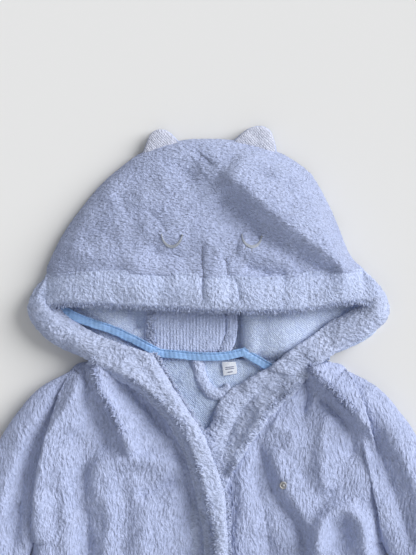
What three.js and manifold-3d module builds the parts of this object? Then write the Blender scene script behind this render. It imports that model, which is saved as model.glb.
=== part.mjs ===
// Toddler's hooded towelling robe, laid flat on its back with the front closed.
// Millimetres. +Z is up, away from the surface that the robe lies on, and +Y points from the hem to
// the hood. The right and left of the wearer are -X and +X. Shapes are drawn from the neck line,
// y = 0, and the whole group is then moved so that the origin is the middle of its bottom.

import * as THREE from "three";
import { mergeVertices } from "three/addons/utils/BufferGeometryUtils.js";
import Module from "manifold-3d";

const wasm = await Module();
wasm.setup();

// ---- driving dimensions ----

const bodyLength = 522; // neck line to hem
const hemHalfWidth = 190;
const underarmHalfWidth = 176;
const underarmDrop = 176; // neck line to underarm
const neckHalfWidth = 120; // the notch between hood and shoulder
const shoulderLength = 20; // from the notch to where the armhole seam starts
const shoulderDrop = 12;
const shoulderHalfWidth = neckHalfWidth + shoulderLength;

const cloth = 4; // thickness of one layer with its pile
const seamGap = 0.3; // between two pieces that are sewn together
const turnGap = 0.6; // on each side of a line that a piece turns about
const seamWall = 5; // depth of the rolled cloth along a side or armhole seam
const overFold = neckHalfWidth - 2; // middle line to the fold that the upper front turns about
const underFold = neckHalfWidth - 10;
const bandProud = 2; // how far an edge band stands above its panel
const bandUnder = 1; // and below it
const popperRadius = 3.6;
const popperThickness = 2;
const popperDrop = 122; // neck line to the popper
const underPanelTop = 18; // height of the front that closes beneath the other
const betweenBands = popperThickness + 1; // from the band of one front to the band of the other
const overPanelTop = underPanelTop + bandProud + betweenBands + bandUnder + cloth;

const hoodRise = 223; // neck line to crown
const hoodHalfWidth = 162; // at the seam of the brim
const brimLow = 58; // neck line to the opening
const brimHigh = 88; // neck line to the seam of the brim
const brimOverhang = 17; // how far the brim reaches past the hood on each side
const brimHalfWidth = hoodHalfWidth + brimOverhang;
const brimHeight = 46;
const brimThickness = 9;
const hoodHeight = 44;
const gussetHalfWidth = 46; // middle strip of the hood's back
const gussetShift = -16;

const sleeveTilt = THREE.MathUtils.degToRad(27); // away from the body, from straight down
const sleeveLength = 196; // underarm level to the end of the sleeve, along the outer edge
const sleeveHeight = 26;
const wristWidth = 95;
const cuffDepth = 38;
const cuffProud = 2; // how far the turned-up cuff stands around the sleeve

const tapeWidth = 7.5;
const tapeThickness = 1.2;
const labelWidth = 14;
const labelLength = 13;
const loopWidth = 22;
const loopLength = 35;
const loopStrip = 7;
const earWidth = 40;
const earRise = 24;
const earLayer = 3;

// ---- materials ----

function clothMaterial(color, roughness = 1) {
  return new THREE.MeshStandardMaterial({ color, roughness, metalness: 0 });
}

const fleece = clothMaterial("#a9b8e0");
const terry = clothMaterial("#95a7d2");
const bandFleece = clothMaterial("#b4c3ea");
const earTerry = clothMaterial("#ced4e8");
const tapeBlue = clothMaterial("#6c95cc", 0.6);
const labelWhite = clothMaterial("#dfe4f0", 0.7);
const thread = clothMaterial("#8f95a6", 0.5);
const popperMetal = new THREE.MeshStandardMaterial({ color: "#b9b2a8", roughness: 0.35, metalness: 0.8 });

// ---- helpers ----

function toManifold(geometry) {
  const bare = geometry.clone();
  bare.deleteAttribute("normal");
  bare.deleteAttribute("uv");
  const merged = mergeVertices(bare, 1e-4);
  return new wasm.Manifold(new wasm.Mesh({
    numProp: 3,
    vertProperties: new Float32Array(merged.attributes.position.array),
    triVerts: new Uint32Array(merged.index.array),
  }));
}

function toGeometry(solid) {
  const mesh = solid.getMesh();
  const geometry = new THREE.BufferGeometry();
  geometry.setAttribute("position", new THREE.BufferAttribute(new Float32Array(mesh.vertProperties), 3));
  geometry.setIndex(new THREE.BufferAttribute(new Uint32Array(mesh.triVerts), 1));
  geometry.computeVertexNormals();
  return geometry;
}

function slab(points, low, high) {
  const shape = new THREE.Shape(points.map(([x, y]) => new THREE.Vector2(x, y)));
  const geometry = new THREE.ExtrudeGeometry(shape, { depth: high - low, bevelEnabled: false });
  return geometry.translate(0, 0, low);
}

// A slab whose outline is drawn for the -X side and mirrored for the +X side.
function sideSlab(side, points, low, high) {
  return slab(points.map(([x, y]) => [-side * x, y]), low, high);
}

function cut(geometry, ...tools) {
  return toGeometry(tools.reduce((solid, tool) => solid.subtract(toManifold(tool)), toManifold(geometry)));
}

function common(a, b) {
  return toGeometry(toManifold(a).intersect(toManifold(b)));
}

function block(x0, x1, y0, y1, z0, z1) {
  return new THREE.BoxGeometry(x1 - x0, y1 - y0, z1 - z0)
    .translate((x0 + x1) / 2, (y0 + y1) / 2, (z0 + z1) / 2);
}

function curvePoints(points, steps) {
  const curve = new THREE.CatmullRomCurve3(points.map(([x, y]) => new THREE.Vector3(x, y, 0)));
  return curve.getPoints(steps).map((p) => [p.x, p.y]);
}

const group = new THREE.Group();

function add(name, geometry, material) {
  const mesh = new THREE.Mesh(geometry, material);
  mesh.name = name;
  group.add(mesh);
}

// ---- body: back panel, and the outer part of each front ----

// Armhole seam of the -X side, from the shoulder to the underarm.
const armhole = [
  [-shoulderHalfWidth, -shoulderDrop],
  [-(shoulderHalfWidth + underarmHalfWidth) / 2 - 4, -underarmDrop * 0.42],
  [-underarmHalfWidth + 2, -underarmDrop * 0.75],
  [-underarmHalfWidth, -underarmDrop],
];

function bodySide(wearerSide) {
  return armhole.map(([x, y]) => [-wearerSide * x, y]);
}

function addBackPanel() {
  const outline = [
    [-neckHalfWidth, -turnGap],
    ...bodySide(-1),
    [-hemHalfWidth, -bodyLength],
    [hemHalfWidth, -bodyLength],
    ...bodySide(1).reverse(),
    [neckHalfWidth, -turnGap],
  ];
  add("back_panel", slab(outline, 0, cloth), terry);
}

// The part of a front between its side seam and the fold that it turns back on: a shell that is
// closed along the side, armhole and shoulder, with a passage into the sleeve.
function addFrontPanel(name, wearerSide, fold, top) {
  const outline = [
    [-fold - turnGap, -turnGap],
    [-neckHalfWidth - seamGap, -turnGap],
    ...armhole,
    [-hemHalfWidth, -bodyLength],
    [-fold - turnGap, -bodyLength],
  ];
  const hollow = [
    [-fold + seamWall, -turnGap - seamWall],
    [-neckHalfWidth, -turnGap - seamWall],
    [-shoulderHalfWidth + seamWall, -shoulderDrop - seamWall],
    [armhole[1][0] + seamWall, armhole[1][1]],
    [armhole[2][0] + seamWall, armhole[2][1]],
    [-underarmHalfWidth + seamWall, -underarmDrop],
    [-hemHalfWidth + seamWall, -bodyLength - seamWall],
    [-fold + seamWall, -bodyLength - seamWall],
  ];
  const low = cloth + seamGap;
  const shell = cut(
    sideSlab(wearerSide, outline, low, top),
    sideSlab(wearerSide, hollow, low - 1, top - cloth),
    sideSlab(wearerSide, sleevePassage(), low + 1, Math.min(top, sleeveHeight) - cloth),
  );
  add(name, shell, fleece);
}

// Outline, in plan, of the way from the body into the sleeve.
function sleevePassage() {
  const [, upper, lower, under] = armhole;
  return [
    [upper[0] + 3 * seamWall, upper[1] + 30],
    [upper[0] - 3 * seamWall, upper[1] + 30],
    [lower[0] - 3 * seamWall, lower[1]],
    [under[0] - 3 * seamWall, under[1] + 2 * seamWall],
    [under[0] + 3 * seamWall, under[1] + 2 * seamWall],
  ];
}

// ---- the parts of the fronts that open, each with its edge band ----

// Free edge of each front, and the line where its band meets the panel, from the neck to the hem.
const overEdge = [[-overFold + 61, -turnGap], [-29, -37], [-7, -72], [7, -108], [14, -133], [17, -192],
  [20, -bodyLength]];
const overBandSeam = [[-overFold + 12, -turnGap], [-overFold + 40, -17], [-48, -50], [-30, -85], [-18, -120],
  [-8, -192], [-4, -bodyLength]];
const underEdge = [[underFold - 48, -turnGap], [17, -33], [3, -62], [-6, -76], [-16, -120], [-20, -192],
  [-20, -bodyLength]];
const underBandSeam = [[underFold - 12, -turnGap], [underFold - 25, -23], [60, -48], [35, -83], [14, -118],
  [6, -192], [4, -bodyLength]];

function addFront(prefix, fold, edge, bandSeam, top) {
  const outward = Math.sign(fold);
  const foldX = fold - outward * turnGap;
  const panel = [
    [foldX, -turnGap],
    [foldX, -bodyLength],
    ...bandSeam.map(([x, y]) => [x + outward * seamGap, y]).reverse(),
  ];
  const band = [...edge, ...[...bandSeam].reverse()];
  add(`${prefix}_front_flap`, slab(panel, top - cloth, top), fleece);
  add(`${prefix}_front_band`, slab(band, top - cloth - bandUnder, top + bandProud), bandFleece);
}

// ---- sleeves ----

// Unit vectors along and across the -X sleeve.
const along = new THREE.Vector2(-Math.sin(sleeveTilt), -Math.cos(sleeveTilt));
const across = new THREE.Vector2(along.y, -along.x).negate();

const sleeveShoulder = [
  [-shoulderHalfWidth - turnGap, -shoulderDrop],
  [-shoulderHalfWidth - 27, -shoulderDrop - 14],
  [-underarmHalfWidth - 12, -shoulderDrop - 36],
  [-underarmHalfWidth - 33, -shoulderDrop - 68],
];

function sleeveEnd(distance) {
  const start = new THREE.Vector2(...sleeveShoulder[3]);
  const outer = start.addScaledVector(along, distance);
  const inner = outer.clone().addScaledVector(across, wristWidth);
  return { outer, inner };
}

function stripBetween(from, to, grow) {
  const a = sleeveEnd(from);
  const b = sleeveEnd(to);
  const out = (p, sign) => p.clone().addScaledVector(across, sign * grow).toArray();
  return [out(a.outer, -1), out(b.outer, -1), out(b.inner, 1), out(a.inner, 1)];
}

function addSleeve(prefix, wearerSide) {
  const end = sleeveEnd(sleeveLength - cuffDepth);
  const inward = armhole.map(([x, y]) => [x - 2 * turnGap, y]);
  const outline = [
    ...sleeveShoulder,
    end.outer.toArray(),
    end.inner.toArray(),
    ...inward.slice(1).reverse(),
  ];
  const [, upper, lower, under] = inward;
  const past = sleeveEnd(sleeveLength);
  const hollow = [
    [upper[0] + cloth, upper[1] + 34],
    [sleeveShoulder[2][0] + 2 * cloth, sleeveShoulder[2][1] - 2 * cloth],
    [sleeveShoulder[3][0] + cloth, sleeveShoulder[3][1] - cloth],
    past.outer.clone().addScaledVector(across, cloth).toArray(),
    past.inner.clone().addScaledVector(across, -cloth).toArray(),
    [under[0] - cloth, under[1] - cloth],
    [under[0] + cloth, under[1] + 2 * cloth],
    [lower[0] + cloth, lower[1]],
  ];
  add(`${prefix}_sleeve`, cut(
    sideSlab(wearerSide, outline, 0, sleeveHeight),
    sideSlab(wearerSide, hollow, cloth, sleeveHeight - cloth),
  ), fleece);
  add(`${prefix}_cuff`, cut(
    sideSlab(wearerSide, stripBetween(sleeveLength - cuffDepth + seamGap, sleeveLength, cuffProud),
      0, sleeveHeight + cuffProud),
    sideSlab(wearerSide, stripBetween(sleeveLength - 2 * cuffDepth, sleeveLength + cuffDepth, -cloth),
      cloth, sleeveHeight - cloth + cuffProud),
  ), bandFleece);
}

// ---- hood ----

// Lower corner of the hood on the -X side, from the seam of the brim round to the notch.
const hoodCorner = [
  [-brimHalfWidth + 19, brimHigh - 2],
  [-brimHalfWidth + 4, brimLow + 11],
  [-brimHalfWidth, brimLow - 3],
  [-brimHalfWidth + 5, brimLow - 17],
  [-brimHalfWidth + 19, brimLow / 2 - 2],
  [-neckHalfWidth - 21, 17],
  [-neckHalfWidth, 8],
  [-neckHalfWidth + 4, turnGap],
];

function crownPoint(angle) {
  const power = 2 / 1.75; // a little less round than an ellipse
  const x = Math.sign(Math.cos(angle)) * Math.abs(Math.cos(angle)) ** power;
  return [hoodHalfWidth * x, brimHigh + (hoodRise - brimHigh) * Math.sin(angle) ** power];
}

const crown = Array.from({ length: 25 }, (_, i) => crownPoint((Math.PI * i) / 24));

const hoodOutline = [
  ...[...hoodCorner].reverse().map(([x, y]) => [-x, y]),
  ...crown.slice(1, -1),
  ...hoodCorner,
];

function addHoodBack() {
  const whole = slab(hoodOutline, 0, cloth);
  const low = gussetShift - gussetHalfWidth;
  const high = gussetShift + gussetHalfWidth;
  const reach = 2 * hoodRise;
  add("hood_back_gusset", common(whole, block(low, high, -1, reach, -1, reach)), terry);
  add("hood_back_right", common(whole, block(-reach, low - seamGap, -1, reach, -1, reach)), terry);
  add("hood_back_left", common(whole, block(high + seamGap, reach, -1, reach, -1, reach)), terry);
}

function dome(inset) {
  return new THREE.SphereGeometry(1, 48, 24)
    .rotateX(Math.PI / 2)
    .scale(hoodHalfWidth - inset, hoodRise - brimHigh - inset, hoodHeight - cloth - inset)
    .translate(0, brimHigh, cloth);
}

function addHoodFace() {
  const reach = 2 * hoodRise;
  const above = block(-reach, reach, brimHigh + seamGap, reach, cloth + seamGap, reach);
  const within = slab(hoodOutline, 0, reach);
  add("hood_face_panel", common(common(cut(dome(0), dome(cloth)), above), within), fleece);
}

// Height of the outside of the hood above the surface that the robe lies on.
function hoodSurface(x, y) {
  const u = x / hoodHalfWidth;
  const v = (y - brimHigh) / (hoodRise - brimHigh);
  return cloth + (hoodHeight - cloth) * Math.sqrt(1 - u * u - v * v);
}

function archPoints(halfWidth, height) {
  return Array.from({ length: 33 }, (_, i) => {
    const angle = (Math.PI * i) / 32;
    return [halfWidth * Math.cos(angle), height * Math.sin(angle)];
  });
}

function addBrim() {
  const foot = cloth + seamGap;
  const rise = brimHeight - foot;
  const outline = [
    ...archPoints(brimHalfWidth, rise),
    ...archPoints(brimHalfWidth - brimThickness, rise - brimThickness).reverse(),
  ];
  const arch = slab(outline, 0, brimHigh - brimLow).rotateX(Math.PI / 2).translate(0, brimHigh, foot);
  add("hood_brim", arch, bandFleece);
}

// The band that carries the brim's edge round the corner of the hood to the notch.
function addNeckBand(prefix, wearerSide, top) {
  const outline = [
    [-brimHalfWidth, brimLow - seamGap],
    ...hoodCorner.slice(3),
    [neckSeam[0][0], turnGap],
    ...neckSeam.map(([x, y]) => [x, y - tapeWidth / 2]),
    [neckSeam[3][0] - tapeWidth, brimLow - seamGap],
  ];
  add(`${prefix}_neck_band`, sideSlab(wearerSide, outline, cloth + seamGap, top), bandFleece);
}

// Middle line of the neck tape on the -X side, outwards from the back of the neck.
const neckSeam = [
  [-neckHalfWidth + 63, 12],
  [-neckHalfWidth + 28, brimLow / 2 + 2],
  [-brimHalfWidth + 48, brimLow - 15],
  [-brimHalfWidth + 32, brimLow - tapeWidth / 2 - seamGap],
];

function addTapes() {
  const low = cloth + seamGap;
  const half = tapeWidth / 2 - seamGap;
  for (const [prefix, wearerSide] of [["right", -1], ["left", 1]]) {
    const outline = [
      ...neckSeam.map(([x, y]) => [x, y - half]),
      ...neckSeam.map(([x, y]) => [x, y + half]).reverse(),
    ];
    add(`${prefix}_neck_tape`, sideSlab(wearerSide, outline, low, low + tapeThickness), tapeBlue);
  }
  const end = -neckSeam[0][0] - seamGap;
  add("back_neck_tape", block(-end, end, 2, 2 + tapeWidth, low, low + tapeThickness), tapeBlue);
}

// ---- trim ----

function addEar(prefix, x, lean) {
  const half = earWidth / 2;
  const base = hoodRise - 22;
  const tip = hoodRise + 13;
  const outline = curvePoints([
    [x - half, base],
    [x - half + 5, tip - earRise + 12],
    [x + lean - 6, tip - 3],
    [x + lean, tip],
    [x + lean + 6, tip - 3],
    [x + half - 5, tip - earRise + 12],
    [x + half, base],
  ], 18);
  const keepOff = slab(hoodOutline.map(([hx, hy]) => [hx * 1.006, hy * 1.006]), -1, 2 * hoodHeight);
  const low = cloth;
  add(`${prefix}_ear_back`, cut(slab(outline, low, low + earLayer), keepOff), fleece);
  const front = low + earLayer + seamGap;
  add(`${prefix}_ear_front`, cut(slab(outline, front, front + earLayer), keepOff), earTerry);
}

function addEmbroidery() {
  const width = 20;
  const depth = 10;
  const line = 1.6;
  const clearance = 1;
  for (const [prefix, x] of [["right", -37], ["left", 42]]) {
    const y = 121;
    const arc = (grow) => Array.from({ length: 13 }, (_, i) => {
      const angle = Math.PI + (Math.PI * i) / 12;
      return [x + (width / 2 + grow) * Math.cos(angle), y + (depth + grow) * Math.sin(angle)];
    });
    const low = hoodSurface(Math.abs(x) - width / 2, y - depth) + clearance;
    add(`${prefix}_eye_embroidery`, slab([...arc(line / 2), ...arc(-line / 2).reverse()], low, low + 1), thread);
  }
  for (const [prefix, x, high, drop] of [["right", -6, 116, 26], ["left", 19, 106, 16]]) {
    const low = hoodSurface(0, high - drop) + seamGap;
    add(`${prefix}_muzzle_stitch`, block(x - line / 2, x + line / 2, high - drop, high, low, low + 1), thread);
  }
}

function addLabelAndLoop() {
  const loopLow = cloth + seamGap;
  const loopHigh = loopLow + 2;
  const left = 10 - loopWidth;
  const outer = slab([[left, -turnGap], [left, -loopLength], [10, -loopLength], [10, -turnGap]],
    loopLow, loopHigh);
  const inner = block(left + loopStrip, 10 - loopStrip, -loopLength + loopStrip, 1, 0, hoodHeight);
  add("hanger_loop", cut(outer, inner), fleece);
  const labelLow = loopHigh + seamGap;
  add("size_label", block(13, 13 + labelWidth, -turnGap - labelLength, -turnGap, labelLow, labelLow + 0.8),
    labelWhite);
}

function popperHalf(profile, x, height) {
  return new THREE.LatheGeometry(profile.map(([r, y]) => new THREE.Vector2(r, y)), 24)
    .rotateX(Math.PI / 2)
    .translate(x, -popperDrop, height);
}

function addPoppers() {
  const stud = [[0, 0], [popperRadius, 0], [popperRadius, 0.8], [1.6, 0.8], [1.4, popperThickness],
    [0, popperThickness]];
  const socket = [[0, 0], [popperRadius, 0], [popperRadius, popperThickness], [0, popperThickness]];
  add("popper_stud", popperHalf(stud, 74, underPanelTop + seamGap), popperMetal);
  const socketLow = overPanelTop - cloth - bandUnder - seamGap - popperThickness;
  add("popper_socket", popperHalf(socket, 2, socketLow), popperMetal);
}

// ---- assembly ----

addBackPanel();
addFrontPanel("right_front_panel", -1, overFold, overPanelTop);
addFrontPanel("left_front_panel", 1, underFold, underPanelTop);
addFront("right", -overFold, overEdge, overBandSeam, overPanelTop);
addFront("left", underFold, underEdge, underBandSeam, underPanelTop);
addSleeve("right", -1);
addSleeve("left", 1);
addHoodBack();
addHoodFace();
addBrim();
addNeckBand("right", -1, overPanelTop);
addNeckBand("left", 1, overPanelTop);
addTapes();
addEar("right", -49, 0);
addEar("left", 45, 7);
addEmbroidery();
addLabelAndLoop();
addPoppers();

group.position.y = (bodyLength - hoodRise - 13) / 2;

export default group;
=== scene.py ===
"""Toddler's hooded towelling robe, laid flat on its back, seen from straight above.

Plan points are millimetres from the neck line on the robe's middle: x to the wearer's left, y towards
the crown of the hood. Heights are millimetres above the surface that the robe lies on.
"""

import math

import bpy
import numpy as np
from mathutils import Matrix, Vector


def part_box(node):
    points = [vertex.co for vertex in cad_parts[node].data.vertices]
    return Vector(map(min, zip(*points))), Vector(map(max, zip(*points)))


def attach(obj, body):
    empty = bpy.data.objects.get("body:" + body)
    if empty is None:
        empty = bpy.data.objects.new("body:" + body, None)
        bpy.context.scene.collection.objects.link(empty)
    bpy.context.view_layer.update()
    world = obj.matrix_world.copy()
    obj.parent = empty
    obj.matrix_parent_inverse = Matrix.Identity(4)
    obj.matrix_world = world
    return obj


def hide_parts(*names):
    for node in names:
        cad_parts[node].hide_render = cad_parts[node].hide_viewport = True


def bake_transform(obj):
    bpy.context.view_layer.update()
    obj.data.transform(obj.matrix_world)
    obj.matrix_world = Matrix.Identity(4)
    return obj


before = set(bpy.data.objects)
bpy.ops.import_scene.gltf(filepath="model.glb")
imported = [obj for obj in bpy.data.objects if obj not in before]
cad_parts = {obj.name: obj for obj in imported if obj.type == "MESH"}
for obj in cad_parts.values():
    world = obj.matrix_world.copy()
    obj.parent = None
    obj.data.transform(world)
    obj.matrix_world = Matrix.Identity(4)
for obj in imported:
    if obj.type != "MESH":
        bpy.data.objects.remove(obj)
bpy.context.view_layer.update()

MM = 0.001
NECK_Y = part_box("back_panel")[1][1] / MM + 0.6  # the neck line, in the row frame
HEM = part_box("back_panel")[0][1] / MM - NECK_Y
STEP = 1.5  # spacing of the cloth's grid
FOLD_DEPTH = 1.4  # scales every ridge and valley
CAMERA_HEIGHT = 1.8
VIEW_LENGTH = 0.555  # how much of the robe's length the picture holds
VIEW_CENTRE = (-0.001, NECK_Y * MM + 0.0855)


# ---- noise ----

def hash3(i, j, k, seed):
    """Repeatable random numbers from 0 to 1 for whole-number cells."""
    n = (i * 73856093) ^ (j * 19349663) ^ (k * 83492791) ^ (seed * 2654435761 & 0x7FFFFFFF)
    n = (n ^ (n >> 13)) * 1274126177 & 0x7FFFFFFF
    n = (n ^ (n >> 16)) * 461845907 & 0x7FFFFFFF
    return ((n ^ (n >> 15)) & 0xFFFFF) / 0xFFFFF


def value_noise(points, size, seed):
    """Smooth noise from -1 to 1 with features of about that size."""
    q = points / size
    cell = np.floor(q).astype(np.int64)
    f = q - cell
    f = f * f * (3 - 2 * f)
    total = 0
    for dx in (0, 1):
        for dy in (0, 1):
            for dz in (0, 1):
                weight = (np.abs(1 - dx - f[:, 0]) * np.abs(1 - dy - f[:, 1]) * np.abs(1 - dz - f[:, 2]))
                total = total + weight * hash3(cell[:, 0] + dx, cell[:, 1] + dy, cell[:, 2] + dz, seed)
    return total * 2 - 1


def tufts(points, size, seed):
    """Rounded clumps of pile: 1 at the middle of a tuft, 0 in the crease between tufts."""
    q = points / size
    cell = np.floor(q).astype(np.int64)
    first = np.full(len(q), 9.0)
    second = np.full(len(q), 9.0)
    for dx in (-1, 0, 1):
        for dy in (-1, 0, 1):
            for dz in (-1, 0, 1):
                c = cell + (dx, dy, dz)
                spot = np.stack([hash3(c[:, 0], c[:, 1], c[:, 2], seed + s) for s in (1, 2, 3)], 1)
                d = np.linalg.norm(c + spot - q, axis=1)
                second = np.where(d < first, first, np.minimum(second, d))
                first = np.minimum(first, d)
    return np.clip(second - first, 0, 1) ** 0.6


# ---- curves and height fields ----

def curve(points, count):
    """count points, evenly spaced, on a smooth curve through the given ones."""
    p = np.array(points, float)
    ends = np.vstack([2 * p[0] - p[1], p, 2 * p[-1] - p[-2]])
    out = []
    for i in range(len(p) - 1):
        a, b, c, d = ends[i:i + 4]
        t = np.linspace(0, 1, 24, endpoint=False)[:, None]
        out.append(0.5 * (2 * b + (c - a) * t + (2 * a - 5 * b + 4 * c - d) * t ** 2
                          + (3 * b - a - 3 * c + d) * t ** 3))
    line = np.vstack([*out, p[-1:]])
    length = np.concatenate([[0], np.cumsum(np.linalg.norm(np.diff(line, axis=0), axis=1))])
    where = np.linspace(0, length[-1], count)
    return np.stack([np.interp(where, length, line[:, k]) for k in range(line.shape[1])], 1)


def line_distance(xy, points):
    """Distance to a polyline, positive on its left as it is walked, and how far along it is, 0 to 1."""
    line = curve(points, 40)
    best = np.full(len(xy), 1e9)
    sign = np.ones(len(xy))
    place = np.zeros(len(xy))
    for i in range(len(line) - 1):
        a, b = line[i], line[i + 1]
        ab = b - a
        t = np.clip(((xy - a) @ ab) / (ab @ ab), 0, 1)
        gap = xy - (a + t[:, None] * ab)
        d = np.hypot(gap[:, 0], gap[:, 1])
        near = d < best
        side = ab[0] * gap[:, 1] - ab[1] * gap[:, 0]
        sign = np.where(near, np.where(side >= 0, 1.0, -1.0), sign)
        place = np.where(near, (i + t) / (len(line) - 1), place)
        best = np.minimum(best, d)
    return best * sign, place


def fold(xy, points, height, left, right=None):
    """A ridge, or with a negative height a valley, that falls away over the given widths on each side."""
    d, place = line_distance(xy, points)
    width = np.where(d >= 0, left, left if right is None else right)
    ends = smooth(place, -0.06, 0.10) * (1 - smooth(place, 0.90, 1.06))
    return FOLD_DEPTH * height * ends * np.exp(-(np.abs(d) / width) ** 1.6)


def add_folds(z, xy, rows):
    """z with the folds added that the rows give: points, height, and the width on the left and the right."""
    for row in rows:
        z = z + fold(xy, *row)
    return z


def bump_at(xy, centre, height, rx, ry):
    u = (xy[:, 0] - centre[0]) / rx
    v = (xy[:, 1] - centre[1]) / ry
    return height * np.exp(-(u * u + v * v))


def noise_at(xy, size, seed):
    return value_noise(np.c_[xy, 0 * xy[:, 0]], size, seed)


def directions(line):
    """Unit vectors along a line in the plan, and to its left, at each of its points."""
    tangent = np.gradient(line, axis=0)
    tangent /= np.linalg.norm(tangent, axis=1, keepdims=True)
    return tangent, np.c_[-tangent[:, 1], tangent[:, 0]]


def roll(distance, radius):
    """0 at an edge, rising round like a quarter circle to 1 at radius from it."""
    s = np.clip(distance / radius, 0, 1)
    return np.sqrt(1 - (1 - s) ** 2)


def smooth(x, low, high):
    t = np.clip((x - low) / (high - low), 0, 1)
    return t * t * (3 - 2 * t)


# ---- meshes ----

def to_row(points):
    """Millimetres from the neck line to metres in the row frame."""
    return (np.asarray(points, float) + (0, NECK_Y, 0)) * MM


def make_mesh(name, verts, faces, material):
    mesh = bpy.data.meshes.new(name)
    mesh.from_pydata(to_row(verts).tolist(), [], [list(map(int, face)) for face in faces])
    mesh.polygons.foreach_set("use_smooth", np.ones(len(mesh.polygons), bool))
    mesh.materials.append(material)
    piece = bpy.data.objects.new(name, mesh)
    bpy.context.scene.collection.objects.link(piece)
    return piece


def grid_faces(rows, cols, offset=0, flip=False):
    i, j = np.meshgrid(np.arange(rows - 1), np.arange(cols - 1), indexing="ij")
    a = offset + i * cols + j
    quads = np.stack([a, a + 1, a + cols + 1, a + cols], -1).reshape(-1, 4)
    return quads[:, ::-1] if flip else quads


def grid_normals(grid, upright=True):
    du = np.gradient(grid, axis=0)
    dv = np.gradient(grid, axis=1)
    n = np.cross(dv, du)
    length = np.linalg.norm(n, axis=2, keepdims=True)
    n = n / np.maximum(length, 1e-9)
    flat = length[..., 0] < 1e-6
    n[flat] = (0, 0, 1)
    if upright:
        n[n[..., 2] < 0] *= -1
    return n


def border(rows, cols):
    top = [(0, j) for j in range(cols)]
    right = [(i, cols - 1) for i in range(1, rows)]
    bottom = [(rows - 1, j) for j in range(cols - 2, -1, -1)]
    left = [(i, 0) for i in range(rows - 2, 0, -1)]
    return np.array(top + right + bottom + left)


def vertex_normals(verts, faces):
    a, b, c, d = (verts[faces[:, k]] for k in range(4))
    n = np.cross(c - a, d - b)
    out = np.zeros_like(verts)
    for k in range(4):
        np.add.at(out, faces[:, k], n)
    return out / np.maximum(np.linalg.norm(out, axis=1, keepdims=True), 1e-12)


def cloth(name, middle, thick, material, tuft=(3.4, 0.9), under=0.3, seed=1, upright=True, comb=None):
    """A closed sheet around a grid of middle points, with round edges and its pile worked into the mesh.

    tuft is the size of the clumps and how proud they stand, under the share of that on the underside, and
    comb how much longer the clumps are along x and y.
    """
    rows, cols, _ = middle.shape
    rounds = 4  # steps around the edge, from the top face to the underside
    normal = grid_normals(middle, upright)
    half = thick / 2 if np.isscalar(thick) else thick[..., None] / 2
    top = middle + normal * half
    low = middle - normal * half
    low[..., 2] = np.maximum(low[..., 2], 0.0)
    loop = border(rows, cols)
    centre = middle[loop[:, 0], loop[:, 1]]
    inner_i = np.clip(loop[:, 0], 1, rows - 2)
    inner_j = np.clip(loop[:, 1], 1, cols - 2)
    out = centre - middle[inner_i, inner_j]
    n = normal[loop[:, 0], loop[:, 1]]
    out -= n * np.sum(out * n, 1, keepdims=True)
    out /= np.maximum(np.linalg.norm(out, axis=1, keepdims=True), 1e-9)
    rim = half if np.isscalar(half) else half[loop[:, 0], loop[:, 1]]
    rings = []
    for k in range(1, rounds):
        angle = math.pi * k / rounds
        ring = centre + rim * (n * math.cos(angle) + out * math.sin(angle))
        ring[:, 2] = np.maximum(ring[:, 2], 0.0)
        rings.append(ring)
    count = rows * cols
    verts = np.vstack([top.reshape(-1, 3), low.reshape(-1, 3), *rings])
    faces = [grid_faces(rows, cols, 0, flip=True), grid_faces(rows, cols, count)]
    flat_loop = loop[:, 0] * cols + loop[:, 1]
    levels = [flat_loop]
    for k in range(rounds - 1):
        levels.append(2 * count + k * len(loop) + np.arange(len(loop)))
    levels.append(flat_loop + count)
    for a, b in zip(levels, levels[1:]):
        faces.append(np.stack([a, np.roll(a, -1), np.roll(b, -1), b], 1))
    faces = np.vstack(faces)
    side = vertex_normals(verts, faces)
    if np.sum(side[:count, 2]) < 0:
        faces = faces[:, ::-1]
        side = -side
    share = np.ones(len(verts))
    share[count:2 * count] = under
    size, proud = tuft
    warp = np.stack([value_noise(verts + 7.3 * k, 2.4 * size, seed + 10 + k) for k in range(3)], 1)
    warped = verts + warp * size * 0.35
    if comb is not None:
        warped = warped / (comb[0], comb[1], 1.0)
    relief = tufts(warped, size, seed) - 0.45 + 0.5 * value_noise(verts, 3.2 * size, seed + 5)
    verts = verts + side * (proud * share * relief)[:, None]
    verts[:, 2] = np.maximum(verts[:, 2], 0.05)
    return make_mesh(name, verts, faces, material)


def tube(first, rings, around, flip=False):
    """Side faces of a tube whose rings of points start at vertex first."""
    faces = []
    for ring in range(rings - 1):
        for k in range(around):
            a = first + ring * around + k
            b = first + ring * around + (k + 1) % around
            side = (a, b, b + around, a + around)
            faces.append((side[0], side[3], side[2], side[1]) if flip else side)
    return faces


def capped_tube(first, rings, around, flip=False):
    start = list(range(first, first + around))
    end = [k + around * (rings - 1) for k in start]
    caps = (start, end[::-1]) if flip else (start[::-1], end)
    return tube(first, rings, around, flip) + [tuple(cap) for cap in caps]


def ruled(first, last, height, across=None, spread=None):
    """Grid between two curves in plan, with its height from a function of the plan points."""
    if across is None:
        across = max(4, int(np.linalg.norm(first - last, axis=1).max() / STEP))
    t = np.linspace(0, 1, across) if spread is None else spread(np.linspace(0, 1, across))
    xy = first[:, None, :] * (1 - t)[None, :, None] + last[:, None, :] * t[None, :, None]
    z = height(xy.reshape(-1, 2)).reshape(xy.shape[:2])
    return np.dstack([xy, z])


def steps(points, spacing=None):
    p = np.array(points, float)
    return max(4, int(np.linalg.norm(np.diff(p, axis=0), axis=1).sum() / (spacing or STEP)))


def near_start(t):
    """Rows closer together beside the first curve, where the cloth rolls over."""
    return t ** 1.3


# ---- materials ----

def put(node, **values):
    """Sets inputs of a node by name, with _ for a space."""
    for name, value in values.items():
        node.inputs[name.replace("_", " ")].default_value = value


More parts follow.
